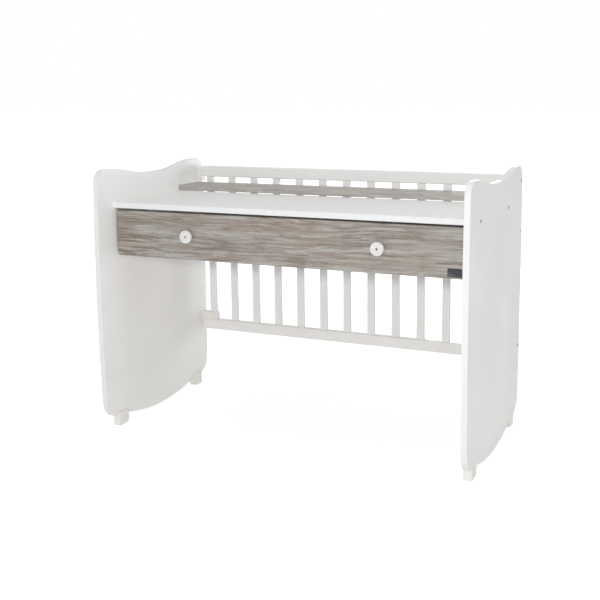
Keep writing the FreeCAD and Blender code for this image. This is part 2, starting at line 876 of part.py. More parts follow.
def knob(name, out):
    """A turned disc on a neck, with a recess for its screw."""
    body = doc.addObject("PartDesign::Body", name + "_body")
    sketch = sketch_on(body, "YZ_Plane", "profile")
    disc_front = "-knob_neck - knob_thick"
    polygon(
        sketch,
        [
            ("0", "0"),
            ("0", "knob_neck_radius"),
            ("-knob_neck", "knob_neck_radius"),
            ("-knob_neck", "knob_radius"),
            (disc_front, "knob_radius"),
            (disc_front, "0"),
        ],
    )
    turned = body.newObject("PartDesign::Revolution", "turned")
    turned.Profile = sketch
    turned.ReferenceAxis = (sketch, ["H_Axis"])
    turned.Angle = 360
    place(body, (mirrored(out, "knob_x"), front_face, knob_z))
    well_at = (mirrored(out, "knob_x"), front_face + " - knob_neck - knob_thick", knob_z)
    well = drum(name + "_well", "knob_recess_radius", "knob_recess", well_at, "+Y")
    return cut(name, body, [well, knob_screw(name + "_screw_hole", out, "screw_fit")])


front_body = doc.addObject("PartDesign::Body", "drawer_front_board")
front_block = front_body.newObject("PartDesign::AdditiveBox", "drawer_front_block")
bind(front_block, "Length", "inner_length - 2 * drawer_side_gap")
bind(front_block, "Width", "front_thick")
bind(front_block, "Height", "front_height")
doc.recompute()
low_corners = edges_where(front_block, lambda e: runs_along(e, Y_AXIS) and abs(e.CenterOfMass.z) < 1e-6)
front_round = dress(front_body, "Fillet", front_block, low_corners, "front_corner")
show_face = [
    "Face%d" % k
    for k, face in enumerate(front_round.Shape.Faces, start=1)
    if face.Surface.TypeId == "Part::GeomPlane" and abs(face.CenterOfMass.y) < 1e-6
]
dress(front_body, "Chamfer", front_round, show_face, "edge_ease")
place(front_body, ("drawer_side_gap - " + half, front_face, front_low))

knob_screws = []
for side, out, inward in SIDES:
    keep("knob_" + side, knob("knob_" + side, out))
    knob_screws.append(knob_screw("knob_screw_" + side, out, "0"))
    front_holes.append(knob_screw("knob_screw_hole_" + side, out, "screw_fit"))
keep("knob_screws", group("knob_screws", knob_screws))
keep("drawer_front", cut("drawer_front", front_body, [groove] + front_holes))


# Drawer runners: channel with a front roller on the panel, angle with a rear roller on the drawer
def axle(name, sign, along, span, length, spot):
    """A headed axle from its seat to its head, both measured from the panel's inner face."""
    seat, reach = span
    shank = rod(name + "_shank", "axle_radius", length, (inset(sign, seat), *spot), along)
    head = drum(name + "_head", "axle_head_radius", "axle_head", (inset(sign, reach), *spot), along)
    return fuse(name, [shank, head])


def roller(name, radius, sign, along, start, spot):
    at = (inset(sign, start), *spot)
    wheel = rod(name + "_wheel", radius, "roller_wide", at, along)
    bore = rod(name + "_bore", "axle_radius + axle_fit", "roller_wide", at, along)
    return cut(name, wheel, [bore])


web = "(runner_room - runner_gauge)"
front_start = "(runner_gauge + roll_gap + roller_side_gap)"
front_reach = "(%s + roller_wide + roller_side_gap)" % front_start
rear_start = "(%s - roll_gap - roller_side_gap)" % web
rear_reach = "(%s - roller_wide - roller_side_gap)" % rear_start
front_axles = []
rear_axles = []
for side, out, inward in SIDES:
    front_spot = (front_roller_y, front_axis_z)
    rear_spot = (rear_roller_y, rear_axis_z)
    front_span = ("0", front_reach)
    rear_span = ("runner_room", rear_reach)
    rear_length = "runner_room - " + rear_reach
    front_axles.append(axle("front_axle_" + side, out, inward + "X", front_span, front_reach, front_spot))
    rear_axles.append(axle("rear_axle_" + side, out, out + "X", rear_span, rear_length, rear_spot))
    channel = profile_bar(
        "channel_" + side,
        [
            (inset(out, "0"), track + " - runner_gauge"),
            (inset(out, "0"), lip_low + " + runner_gauge"),
            (inset(out, "runner_wide"), lip_low + " + runner_gauge"),
            (inset(out, "runner_wide"), lip_low),
            (inset(out, "runner_gauge"), lip_low),
            (inset(out, "runner_gauge"), track),
            (inset(out, "runner_wide"), track),
            (inset(out, "runner_wide"), track + " - runner_gauge"),
        ],
        runner_front,
        runner_length,
    )
    front_hole = rod(
        "front_axle_hole_" + side,
        "axle_radius + axle_fit",
        "runner_gauge",
        (inset(out, "0"), front_roller_y, front_axis_z),
        inward + "X",
    )
    name = "runner_channel_" + side
    keep(name, cut(name, channel, runner_holes[side] + [front_hole]))

    angle = profile_bar(
        "angle_" + side,
        [
            (inset(out, "runner_room + box_thick"), box_low + " - runner_gauge"),
            (inset(out, web), box_low + " - runner_gauge"),
            (inset(out, web), flange_low),
            (inset(out, "runner_gauge + flange_end_gap"), flange_low),
            (inset(out, "runner_gauge + flange_end_gap"), flange_low + " + runner_gauge"),
            (inset(out, "runner_room"), flange_low + " + runner_gauge"),
            (inset(out, "runner_room"), box_low),
            (inset(out, "runner_room + box_thick"), box_low),
        ],
        front_back,
        "box_length",
    )
    flange_cut = box(
        "flange_cut_" + side,
        (web, "flange_back_cut", "2 * runner_gauge"),
        (
            mirrored(out, half if out == "-" else "%s - %s" % (half, web)),
            box_back + " - flange_back_cut",
            flange_low + " - runner_gauge / 2",
        ),
    )
    rear_hole = rod(
        "rear_axle_hole_" + side,
        "axle_radius + axle_fit",
        "runner_gauge",
        (inset(out, "runner_room"), rear_roller_y, rear_axis_z),
        out + "X",
    )
    name = "drawer_angle_" + side
    keep(name, cut(name, angle, [flange_cut, rear_hole] + angle_holes[side]))
    name = "front_roller_" + side
    keep(name, roller(name, "front_roller_radius", out, inward + "X", front_start, front_spot))
    name = "rear_roller_" + side
    keep(name, roller(name, "rear_roller_radius", out, out + "X", rear_start, rear_spot))
keep("front_roller_axles", group("front_roller_axles", front_axles))
keep("rear_roller_axles", group("rear_roller_axles", rear_axles))

doc.recompute()

# Check every object, then write one STEP file for each sub-part
for obj in doc.Objects:
    if "Invalid" in obj.State or "Error" in obj.State:
        raise RuntimeError("%s failed: %s" % (obj.Name, obj.State))
for name, obj in nodes.items():
    if obj.Shape.isNull() or not obj.Shape.isValid():
        raise RuntimeError("%s has no valid shape" % name)
for name, obj in nodes.items():
    obj.Shape.exportStep("parts/%s.step" % name)
    print("%-24s %2d solids %12.1f mm3" % (name, len(obj.Shape.Solids), obj.Shape.Volume))
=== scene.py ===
import json
import math

import bmesh
import bpy
from mathutils import Matrix, Vector


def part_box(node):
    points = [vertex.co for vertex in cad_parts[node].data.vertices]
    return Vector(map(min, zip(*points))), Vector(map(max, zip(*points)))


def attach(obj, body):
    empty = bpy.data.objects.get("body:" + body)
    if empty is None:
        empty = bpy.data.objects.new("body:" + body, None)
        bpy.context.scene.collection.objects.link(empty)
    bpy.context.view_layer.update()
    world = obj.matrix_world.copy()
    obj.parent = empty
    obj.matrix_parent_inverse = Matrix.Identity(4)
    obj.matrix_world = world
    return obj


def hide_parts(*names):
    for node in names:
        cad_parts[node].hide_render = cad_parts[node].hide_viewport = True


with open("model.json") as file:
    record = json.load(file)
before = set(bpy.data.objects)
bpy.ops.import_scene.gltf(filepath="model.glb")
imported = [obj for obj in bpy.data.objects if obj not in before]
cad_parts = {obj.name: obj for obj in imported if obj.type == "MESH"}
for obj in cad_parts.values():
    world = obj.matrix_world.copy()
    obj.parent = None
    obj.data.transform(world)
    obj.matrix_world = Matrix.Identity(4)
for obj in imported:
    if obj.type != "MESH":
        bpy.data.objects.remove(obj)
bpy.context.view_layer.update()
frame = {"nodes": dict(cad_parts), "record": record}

MM = 0.001
nodes = frame["nodes"]
record = frame["record"]
scene = bpy.context.scene

# Camera
CAMERA_AT = Vector((1.2855, -2.7858, 1.1076))
CAMERA_AZIMUTH = 23.631
CAMERA_ELEVATION = 8.91
CAMERA_ROLL = -0.433
CAMERA_LENS = 57.03
CAMERA_SENSOR = 36.0
CAMERA_SHIFT = (-0.05, -0.1)
CAMERA_REACH = 200.0


def turn(degrees, axis):
    return Matrix.Rotation(math.radians(degrees), 4, axis)


def make_camera():
    """The camera at the photograph's viewing angle."""
    data = bpy.data.cameras.new("camera")
    data.lens = CAMERA_LENS
    data.sensor_width = CAMERA_SENSOR
    data.sensor_fit = "HORIZONTAL"
    data.shift_x, data.shift_y = CAMERA_SHIFT
    data.clip_end = CAMERA_REACH
    camera = bpy.data.objects.new("camera", data)
    scene.collection.objects.link(camera)
    aim = turn(CAMERA_AZIMUTH, "Z") @ turn(90 - CAMERA_ELEVATION, "X") @ turn(CAMERA_ROLL, "Z")
    camera.matrix_world = Matrix.Translation(CAMERA_AT) @ aim
    scene.camera = camera


# Node graph helpers
MIX_COLOURS = (6, 7)
MIX_RESULT = 2


def new_material(name):
    """A material with a plain Principled shader, its node tree and that shader."""
    made = bpy.data.materials.new(name)
    made.use_nodes = True
    tree = made.node_tree
    return made, tree, tree.nodes["Principled BSDF"]


def feed(tree, socket, value):
    """Link a socket to another one, or set its value."""
    if isinstance(value, bpy.types.NodeSocket):
        tree.links.new(value, socket)
    else:
        socket.default_value = value


def add(tree, kind, inputs=(), **settings):
    """A new node with its settings and inputs set."""
    item = tree.nodes.new("ShaderNode" + kind)
    for name, value in settings.items():
        setattr(item, name, value)
    for key, value in dict(inputs).items():
        feed(tree, item.inputs[key], value)
    return item


def place_on(tree):
    """Places in the object's own frame, in metres."""
    return add(tree, "TexCoord").outputs["Object"]


def normal_on(tree):
    """The surface's direction in the object's own frame."""
    return add(tree, "TexCoord").outputs["Normal"]


def noise(tree, vector, scale, detail, roughness=0.5):
    inputs = {"Vector": vector, "Scale": scale, "Detail": detail, "Roughness": roughness}
    return add(tree, "TexNoise", inputs).outputs["Fac"]


def grain(tree, vector, scale, detail, roughness=0.5, offset=(0, 0, 0)):
    """Noise with a scale of its own along each axis."""
    inputs = {"Vector": vector, "Scale": scale, "Location": offset}
    return noise(tree, add(tree, "Mapping", inputs).outputs["Vector"], 1.0, detail, roughness)


def maths(tree, operation, first, second=0.0):
    return add(tree, "Math", {0: first, 1: second}, operation=operation).outputs["Value"]


def vectors(tree, operation, first, second):
    return add(tree, "VectorMath", {0: first, 1: second}, operation=operation).outputs["Vector"]


def length(tree, vector):
    return add(tree, "VectorMath", {0: vector}, operation="LENGTH").outputs["Value"]


def split(tree, vector):
    return add(tree, "SeparateXYZ", {0: vector}).outputs


def moved(tree, vector, **steps):
    """A vector moved along the axes that are named."""
    return vectors(tree, "ADD", vector, add(tree, "CombineXYZ", steps).outputs["Vector"])


def span(tree, value, low, high, to_low=0.0, to_high=1.0):
    """A value moved from one range to another, smoothly and clamped."""
    inputs = {"Value": value, "From Min": low, "From Max": high, "To Min": to_low, "To Max": to_high}
    return add(tree, "MapRange", inputs, interpolation_type="SMOOTHSTEP").outputs["Result"]


def mix(tree, share, first, second):
    """Two colours mixed, each a socket or three numbers."""
    item = add(tree, "Mix", {0: share}, data_type="RGBA")
    for index, colour in zip(MIX_COLOURS, (first, second)):
        value = colour if isinstance(colour, bpy.types.NodeSocket) else (*colour, 1.0)
        feed(tree, item.inputs[index], value)
    return item.outputs[MIX_RESULT]


def blotched(tree, value, low, high, colours):
    """The first colour where a value is low, the second where it is high."""
    return mix(tree, span(tree, value, low, high), *colours)


def tinted(tree, colour, value, low, high, share, tint):
    """A colour with a share of a tint where a value passes from low to high."""
    return mix(tree, span(tree, value, low, high, 0.0, share), colour, tint)


def bump(tree, height, strength, distance):
    inputs = {"Height": height, "Strength": strength, "Distance": distance}
    return add(tree, "Bump", inputs).outputs["Normal"]


def facing_along(tree, axis):
    """How far a surface faces along an axis, either way, from 0 to 1."""
    flat = add(tree, "VectorMath", {0: normal_on(tree)}, operation="ABSOLUTE").outputs["Vector"]
    return split(tree, flat)[axis]


def surface(tree, shader, colour, rough, normal):
    """Feed a shader's colour, roughness and bumped direction."""
    feed(tree, shader.inputs["Base Color"], colour)
    feed(tree, shader.inputs["Roughness"], rough)
    feed(tree, shader.inputs["Normal"], normal)


# White board
BOARD_FACE = ((0.835, 0.833, 0.822), (0.86, 0.858, 0.848))
BOARD_PEARL = (0.81, 0.808, 0.797)
BOARD_RIM = (0.788, 0.795, 0.799)
BOARD_RUBBED = (0.7, 0.685, 0.655)
BOARD_RIM_GLOSS = 0.1
CORE_CHIPS = ((0.13, 0.09, 0.055), (0.3, 0.22, 0.14))
CORE_REACH = 0.6 * MM


def bare_core(tree, place, rim, colour):
    """Raw chipboard on the wall of the panels' spare hole."""
    hole = next(mount for mount in record["mounts"] if mount["name"] == "spare_hole_right")
    radius = hole["dims"]["r_mm"] * MM
    across = vectors(tree, "MULTIPLY", vectors(tree, "SUBTRACT", place, hole["pos_m"]), (0, 1, 1))
    near = span(tree, length(tree, across), radius + CORE_REACH, radius + CORE_REACH / 2)
    chips = blotched(tree, noise(tree, place, scale=700.0, detail=3.0), 0.35, 0.65, CORE_CHIPS)
    return mix(tree, maths(tree, "MULTIPLY", rim, near), colour, chips)


def white_board(name, rim_axis, drilled=False):
    """Melamine-faced board: a faint pearl grain, a cooler and glossier edge band, rubbed eased edges."""
    made, tree, shader = new_material(name)
    place = place_on(tree)
    facing = facing_along(tree, rim_axis)
    cloud = noise(tree, place, scale=3.0, detail=3.0)
    pearl = noise(tree, place, scale=320.0, detail=2.0)
    colour = blotched(tree, cloud, 0.3, 0.7, BOARD_FACE)
    colour = tinted(tree, colour, pearl, 0.45, 0.75, 0.35, BOARD_PEARL)
    rim = span(tree, facing, 0.6, 0.4)
    colour = mix(tree, rim, colour, BOARD_RIM)
    eased = maths(tree, "MULTIPLY", span(tree, facing, 0.35, 0.5), span(tree, facing, 0.95, 0.85))
    rubbed = span(tree, noise(tree, place, scale=60.0, detail=4.0), 0.5, 0.75, 0.0, 0.45)
    colour = mix(tree, maths(tree, "MULTIPLY", eased, rubbed), colour, BOARD_RUBBED)
    if drilled:
        colour = bare_core(tree, place, rim, colour)
    rough = span(tree, noise(tree, place, scale=9.0, detail=4.0), 0.3, 0.75, 0.4, 0.52)
    rough = maths(tree, "SUBTRACT", rough, maths(tree, "MULTIPLY", rim, BOARD_RIM_GLOSS))
    surface(tree, shader, colour, rough, bump(tree, pearl, strength=0.06, distance=0.1 * MM))
    return made


# Wood print
STAVE = 0.27
STAVE_START = 0.63
STAVE_JUMP = 4.0
WAVE = 0.05
FIBRE_RELIEF = 0.5
WOOD_BROAD = ((0.272, 0.239, 0.211), (0.4, 0.382, 0.354))
WOOD_WARM = (0.303, 0.241, 0.191)
WOOD_STREAK = (0.475, 0.458, 0.43)
WOOD_LENS = (0.195, 0.156, 0.125)
WOOD_FIBRE = (0.23, 0.2, 0.175)
WOOD_CHECK = (0.15, 0.12, 0.098)
WOOD_FLECK = (0.56, 0.55, 0.528)
WOOD_STAVE = (0.3, 0.27, 0.24)
# A pale colour mixed into the wood print as painted light, so that a surface looks more brightly lit
WOOD_PAINTED_LIGHT = (0.56, 0.542, 0.515)


def staves(tree, place):
    """A random number for each stave of the print, along X."""
    along = maths(tree, "DIVIDE", split(tree, place)["X"], STAVE)
    count = maths(tree, "FLOOR", maths(tree, "ADD", along, STAVE_START))
    return add(tree, "TexWhiteNoise", {"W": count}, noise_dimensions="1D").outputs["Value"]


def wood_look(name, painted_light):
    """Weathered grey wood print: wavy streaks, dark lenses and checks, warm patches, fibres in staves,
    and a share of a pale colour mixed in as painted light.
    """
    made, tree, shader = new_material(name)
    place = place_on(tree)
    stave = staves(tree, place)
    sway = grain(tree, place, (2.6, 4.0, 7.0), detail=2.0)
    lift = maths(tree, "MULTIPLY", maths(tree, "SUBTRACT", sway, 0.5), WAVE)
    wavy = moved(tree, place, Y=lift, Z=lift)
    jump = maths(tree, "MULTIPLY", stave, STAVE_JUMP)
    cut = moved(tree, wavy, X=jump, Y=jump, Z=jump)
    broad = grain(tree, wavy, (2.6, 26.0, 38.0), detail=4.0, roughness=0.58)
    patch = grain(tree, place, (3.4, 9.0, 15.0), detail=3.0, offset=(8.8, 1.3, 6.1))
    cluster = grain(tree, place, (4.4, 12.0, 20.0), detail=2.0, offset=(2.7, 5.5, 3.3))
    streak = grain(tree, wavy, (7.5, 90.0, 135.0), detail=4.0, roughness=0.62, offset=(3.1, 0.7, 1.9))
    fibre = grain(tree, cut, (22.0, 380.0, 640.0), detail=3.0, roughness=0.6, offset=(5.3, 2.2, 0.4))
    check = grain(tree, wavy, (12.0, 170.0, 260.0), detail=2.0, offset=(1.7, 9.2, 4.6))
    fleck = grain(tree, cut, (32.0, 240.0, 360.0), detail=2.0, offset=(6.4, 3.8, 7.7))
    colour = blotched(tree, broad, 0.4, 0.6, WOOD_BROAD)
    colour = tinted(tree, colour, patch, 0.47, 0.62, 0.6, WOOD_WARM)
    colour = tinted(tree, colour, streak, 0.52, 0.62, 0.6, WOOD_STREAK)
    gathered = span(tree, cluster, 0.42, 0.56, 0.3, 0.95)
    lens = maths(tree, "MULTIPLY", span(tree, streak, 0.485, 0.4), gathered)
    colour = mix(tree, lens, colour, WOOD_LENS)
    colour = tinted(tree, colour, fibre, 0.45, 0.62, 0.35, WOOD_FIBRE)
    colour = tinted(tree, colour, check, 0.41, 0.33, 0.7, WOOD_CHECK)
    colour = tinted(tree, colour, fleck, 0.65, 0.71, 0.35, WOOD_FLECK)
    colour = tinted(tree, colour, stave, 0.0, 1.0, 0.12, WOOD_STAVE)
    # Painted light: a share of a pale colour that makes the print look more brightly lit
    colour = mix(tree, painted_light, colour, WOOD_PAINTED_LIGHT)
    rough = span(tree, streak, 0.3, 0.7, 0.52, 0.66)
    height = maths(tree, "ADD", maths(tree, "MULTIPLY", fibre, FIBRE_RELIEF), streak)
    surface(tree, shader, colour, rough, bump(tree, height, strength=0.25, distance=0.3 * MM))
    return made


# Other materials
FOIL = ((0.77, 0.77, 0.755), (0.81, 0.81, 0.795))
FOIL_FIBRE = (0.72, 0.715, 0.695)
HARDBOARD_BARE = ((0.2, 0.115, 0.06), (0.37, 0.24, 0.14))
HARDBOARD_PAINT = ((0.75, 0.745, 0.725), (0.82, 0.815, 0.8))
POWDER = (0.78, 0.78, 0.77)
POWDER_SCUFF = (0.5, 0.5, 0.49)
BEECH = ((0.5, 0.32, 0.17), (0.7, 0.5, 0.3))
CREAM = ((0.8, 0.787, 0.745), (0.83, 0.82, 0.785))
NYLON = ((0.75, 0.75, 0.73), (0.8, 0.8, 0.78))
GLOSS_WHITE = ((0.69, 0.69, 0.675), (0.715, 0.715, 0.7))
CHARCOAL = ((0.024, 0.024, 0.028), (0.034, 0.034, 0.038))
ZINC = ((0.2, 0.2, 0.205), (0.42, 0.42, 0.43))
DARK_ZINC = ((0.05, 0.05, 0.053), (0.16, 0.16, 0.165))
PLASTIC_ROUGH_SPREAD = 0.06
# The shelf's share of painted light: its print is a paler, lit-looking copy of the drawer front's
SHELF_PAINTED_LIGHT = 0.4


def foil_board(name):
    """White paper-foil drawer board, matt, with a faint fibre."""
    made, tree, shader = new_material(name)
    place = place_on(tree)
    fibre = grain(tree, place, (300.0, 60.0, 900.0), detail=3.0)
    cloud = noise(tree, place, scale=7.0, detail=3.0)
    colour = blotched(tree, cloud, 0.3, 0.7, FOIL)
    colour = tinted(tree, colour, fibre, 0.4, 0.7, 0.25, FOIL_FIBRE)
    rough = span(tree, cloud, 0.3, 0.7, 0.5, 0.62)
    surface(tree, shader, colour, rough, bump(tree, fibre, strength=0.12, distance=0.1 * MM))
    return made


def hardboard(name):
    """Thin fibreboard, painted white above and bare brown below."""
    made, tree, shader = new_material(name)
    down = span(tree, split(tree, normal_on(tree))["Z"], -0.2, -0.6)
    speck = noise(tree, place_on(tree), scale=420.0, detail=4.0, roughness=0.65)
    bare = blotched(tree, speck, 0.35, 0.65, HARDBOARD_BARE)
    paint = blotched(tree, speck, 0.35, 0.7, HARDBOARD_PAINT)
    rough = span(tree, speck, 0.3, 0.7, 0.5, 0.75)
    normal = bump(tree, speck, strength=0.3, distance=0.3 * MM)
    surface(tree, shader, mix(tree, down, paint, bare), rough, normal)
    return made


def moulded_plastic(name, colours, rough, relief):
    """Moulded plastic with a fine spark-eroded grain and slight uneven colour."""
    made, tree, shader = new_material(name)
    place = place_on(tree)
    cloud = noise(tree, place, scale=45.0, detail=3.0)
    fine = noise(tree, place, scale=1100.0, detail=2.0)
    colour = blotched(tree, cloud, 0.3, 0.7, colours)
    uneven = span(tree, cloud, 0.25, 0.75, rough - PLASTIC_ROUGH_SPREAD, rough + PLASTIC_ROUGH_SPREAD)
    surface(tree, shader, colour, uneven, bump(tree, fine, relief, distance=0.1 * MM))
    return made


def powder_coat(name):
    """White powder-coated steel with orange peel and scuffed patches."""
    made, tree, shader = new_material(name)
    place = place_on(tree)
    peel = noise(tree, place, scale=700.0, detail=2.0)
    scuff = grain(tree, place, (200.0, 12.0, 200.0), detail=4.0)
    colour = tinted(tree, POWDER, scuff, 0.6, 0.72, 0.6, POWDER_SCUFF)
    rough = span(tree, peel, 0.3, 0.7, 0.34, 0.48)
    surface(tree, shader, colour, rough, bump(tree, peel, strength=0.2, distance=0.2 * MM))
    return made


def plated_steel(name, colours):
    """Zinc-plated steel with dull spots."""
    made, tree, shader = new_material(name)
    spots = noise(tree, place_on(tree), scale=900.0, detail=4.0, roughness=0.6)
    colour = blotched(tree, spots, 0.3, 0.7, colours)
    rough = span(tree, spots, 0.3, 0.7, 0.3, 0.5)
    surface(tree, shader, colour, rough, bump(tree, spots, strength=0.15, distance=0.1 * MM))
    shader.inputs["Metallic"].default_value = 1.0
    return made


def beech(name):
    """Raw beech dowel with short dark flecks along the grain."""
    made, tree, shader = new_material(name)
    fleck = grain(tree, place_on(tree), (120.0, 900.0, 900.0), detail=4.0, roughness=0.6)
    colour = blotched(tree, fleck, 0.3, 0.7, BEECH)
    rough = span(tree, fleck, 0.3, 0.7, 0.55, 0.7)
    surface(tree, shader, colour, rough, bump(tree, fleck, strength=0.2, distance=0.2 * MM))
    return made


looks = {
    "white_board": white_board("white_board", "Y"),
    "wood_look": wood_look("wood_look", painted_light=0.0),
    "drawer_board": foil_board("drawer_board"),
    "hardboard": hardboard("hardboard"),
    "cream_plastic": moulded_plastic("cream_plastic", CREAM, rough=0.45, relief=0.2),
    "knob_white": moulded_plastic("knob_white", GLOSS_WHITE, rough=0.22, relief=0.03),
    "runner_steel": powder_coat("runner_steel"),
    "roller_nylon": moulded_plastic("roller_nylon", NYLON, rough=0.5, relief=0.12),
    "steel": plated_steel("steel", ZINC),
    "dowel_wood": beech("dowel_wood"),
}
panel_look = white_board("white_panel", "X", drilled=True)
plate_look = moulded_plastic("plate_charcoal", CHARCOAL, rough=0.4, relief=0.2)
bolt_look = plated_steel("bolt_steel", DARK_ZINC)
own_looks = {
    "left_end_panel": panel_look,
    "right_end_panel": panel_look,
    "desktop": white_board("white_top", "Z"),
    # The shelf gets a paler copy of the drawer front's wood print, as painted light
    "back_shelf": wood_look("shelf_wood_painted_light", SHELF_PAINTED_LIGHT),
}


def dress_nodes():
    """Give every CAD node its own look, or the material of its slot."""
    slots = {part["node"]: part["material_slot"] for part in record["subparts"]}
    for name, node in nodes.items():
        for slot in node.material_slots:
            slot.material = own_looks.get(name, looks[slots[name]])


# Pieces
SHARP_ANGLE = math.radians(35)
TINY = 1e-9


def mesh_piece(name, work, look, body):
    """Turn a bmesh into a piece that rides on a body."""
    data = bpy.data.meshes.new(name)
    bmesh.ops.recalc_face_normals(work, faces=work.faces)
    work.to_mesh(data)
    work.free()
    data.materials.append(look)
    data.shade_smooth()
    data.set_sharp_from_angle(angle=SHARP_ANGLE)
    piece = bpy.data.objects.new(name, data)
    scene.collection.objects.link(piece)
    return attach(piece, body)


def arc(centre, radius, start, end, steps):
    """Points on an arc, with angles in degrees."""
    angles = [math.radians(start + (end - start) * k / steps) for k in range(steps + 1)]
    return [(centre[0] + radius * math.cos(a), centre[1] + radius * math.sin(a)) for a in angles]


def skin(work, rings):
    """Faces between rings of points, closed at both ends."""
    for first, second in zip(rings, rings[1:]):
        count = len(first)
        for k in range(count):
            after = (k + 1) % count
            work.faces.new((first[k], first[after], second[after], second[k]))
    work.faces.new(rings[0])
    work.faces.new(rings[-1])


def round_ring(radius):
    """A circle's distance from its middle, by angle."""
    return lambda angle: radius


def hexagon(inner):
    """A hexagon's distance from its middle, by angle."""
    sixth = math.pi / 3
    return lambda angle: inner / math.cos((angle + sixth / 2) % sixth - sixth / 2)


def cross(wide, reach):
    """A cross's distance from its middle, by angle."""
    def distance(angle):
        across = max(abs(math.cos(angle)), TINY)
        up = max(abs(math.sin(angle)), TINY)
        return max(min(reach / across, wide / up), min(wide / across, reach / up))
    return distance


def turned(work, base, axis, profile, steps):
    """A closed form about an axis: distances along it, each with a distance from it by angle."""
    side = axis.orthogonal().normalized()
    up = axis.cross(side)
    rings = []
    for along, outline in profile:
        ring = []
        for k in range(steps):
            angle = 2 * math.pi * k / steps
            spoke = side * math.cos(angle) + up * math.sin(angle)
            ring.append(work.verts.new(base + axis * along + spoke * outline(angle)))
        rings.append(ring)
    skin(work, rings)


KNOB_STEPS = 64
KNOB_ARC_STEPS = 8
KNOB_LIP_STEPS = 4
KNOB_ROUND = 3.2 * MM
KNOB_FLARE = 2.0 * MM
KNOB_NECK = 9.0 * MM
KNOB_BACK = 10.0 * MM
KNOB_RECESS = 3.4 * MM
KNOB_RECESS_DEEP = 5.0 * MM
KNOB_LIP = 0.8 * MM
KNOB_CORNER = 1.0 * MM


def knob(name):
    """A smooth turned knob in place of the plain disc."""
    low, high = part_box(name)
    middle = (low + high) / 2
    thick = high.y - low.y
    rim = (high.x - low.x) / 2 - KNOB_ROUND
    points = [(0.0, KNOB_NECK + KNOB_FLARE), (KNOB_FLARE, KNOB_NECK)]
    points += [(KNOB_BACK - KNOB_CORNER, KNOB_NECK), (KNOB_BACK, KNOB_NECK + KNOB_CORNER)]
    points += arc((KNOB_BACK + KNOB_ROUND, rim), KNOB_ROUND, 180, 90, KNOB_ARC_STEPS)
    points += arc((thick - KNOB_ROUND, rim), KNOB_ROUND, 90, 0, KNOB_ARC_STEPS)
    points += arc((thick - KNOB_LIP, KNOB_RECESS + KNOB_LIP), KNOB_LIP, 0, -90, KNOB_LIP_STEPS)
    points += [(thick - KNOB_RECESS_DEEP, KNOB_RECESS)]
    work = bmesh.new()
    profile = [(along, round_ring(distance)) for along, distance in points]
    turned(work, Vector((middle.x, high.y, middle.z)), Vector((0, -1, 0)), profile, KNOB_STEPS)
    piece = mesh_piece("turned_" + name, work, looks["knob_white"], "drawer")
    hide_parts(name)


PLATE_SIZE = (43 * MM, 25 * MM)
PLATE_INSET = (23 * MM, 6 * MM)
PLATE_THICK = 1.2 * MM
PLATE_CORNER = 2.0 * MM
PLATE_LEAST_CORNER = 0.3 * MM
PLATE_CORNER_STEPS = 5
# Each ring's distance in from the edge, in millimetres, and its share of the thickness
PLATE_RINGS = ((0.0, 0.0), (0.0, 0.8), (0.4, 1.0), (1.6, 1.0), (2.0, 0.7))


def rounded_outline(size, corner):
    """A rectangle with round corners about the origin."""
    across, up = size[0] / 2 - corner, size[1] / 2 - corner
    points = []
    for x, z, start in ((across, up, 0), (-across, up, 90), (-across, -up, 180), (across, -up, 270)):
        points += arc((x, z), corner, start, start + 90, PLATE_CORNER_STEPS)
    return points


def plate():
    """A bare dark plate on the drawer front, with a raised rim."""
    low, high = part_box("drawer_front")
    middle_x = high.x - PLATE_INSET[0] - PLATE_SIZE[0] / 2
    middle_z = low.z + PLATE_INSET[1] + PLATE_SIZE[1] / 2
    centre = Vector((middle_x, low.y, middle_z))
    work = bmesh.new()
    rings = []
    for inset, share in PLATE_RINGS:
        size = [side - 2 * inset * MM for side in PLATE_SIZE]
        outline = rounded_outline(size, max(PLATE_CORNER - inset * MM, PLATE_LEAST_CORNER))
        out = -share * PLATE_THICK
        rings.append([work.verts.new(centre + Vector((x, out, z))) for x, z in outline])
    skin(work, rings)
    mesh_piece("bare_plate", work, plate_look, "drawer")


BOLT_STEPS = 48
BOLT_FACE = 618 * MM
BOLT_HEAD = 6.0 * MM
BOLT_HEAD_DEEP = 3.0 * MM
BOLT_RIM = 0.6 * MM
BOLT_SHANK = 3.0 * MM
BOLT_KEY = 2.5 * MM
BOLT_KEY_DEEP = 2.4 * MM
# Each bolt's place along Y and Z, and its length under the outer face, in millimetres
BOLT_ROWS = ((-207, 745, 60), (131, 745, 60), (304, 814, 60), (304, 261, 46))


def bolts():
    """Round bolt heads with hexagon sockets, on plain shanks."""
    work = bmesh.new()
    for sign in (-1, 1):
        for y, z, reach in BOLT_ROWS:
            base = Vector((sign * BOLT_FACE, y * MM, z * MM))
            profile = [
                (reach * MM, round_ring(BOLT_SHANK - BOLT_RIM)),
                (reach * MM - BOLT_RIM, round_ring(BOLT_SHANK)),
                (BOLT_HEAD_DEEP, round_ring(BOLT_SHANK)),
                (BOLT_HEAD_DEEP, round_ring(BOLT_HEAD)),
                (BOLT_RIM, round_ring(BOLT_HEAD)),
                (0.0, round_ring(BOLT_HEAD - BOLT_RIM)),
                (0.0, hexagon(BOLT_KEY)),
                (BOLT_KEY_DEEP, hexagon(BOLT_KEY)),
            ]
            turned(work, base, Vector((-sign, 0, 0)), profile, BOLT_STEPS)
    piece = mesh_piece("socket_head_bolts", work, bolt_look, "frame")
    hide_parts("panel_bolts")


CAM_STEPS = 96
CAM_RADIUS = 7.5 * MM
CAM_DEEP = 9.0 * MM
CAM_RIM = 0.9 * MM
CAM_DISH = 0.4 * MM
CAM_SLOT = (0.8 * MM, 4.2 * MM)
CAM_SLOT_DEEP = 2.5 * MM
CAM_AT = (575.5 * MM, -191 * MM, 645 * MM)


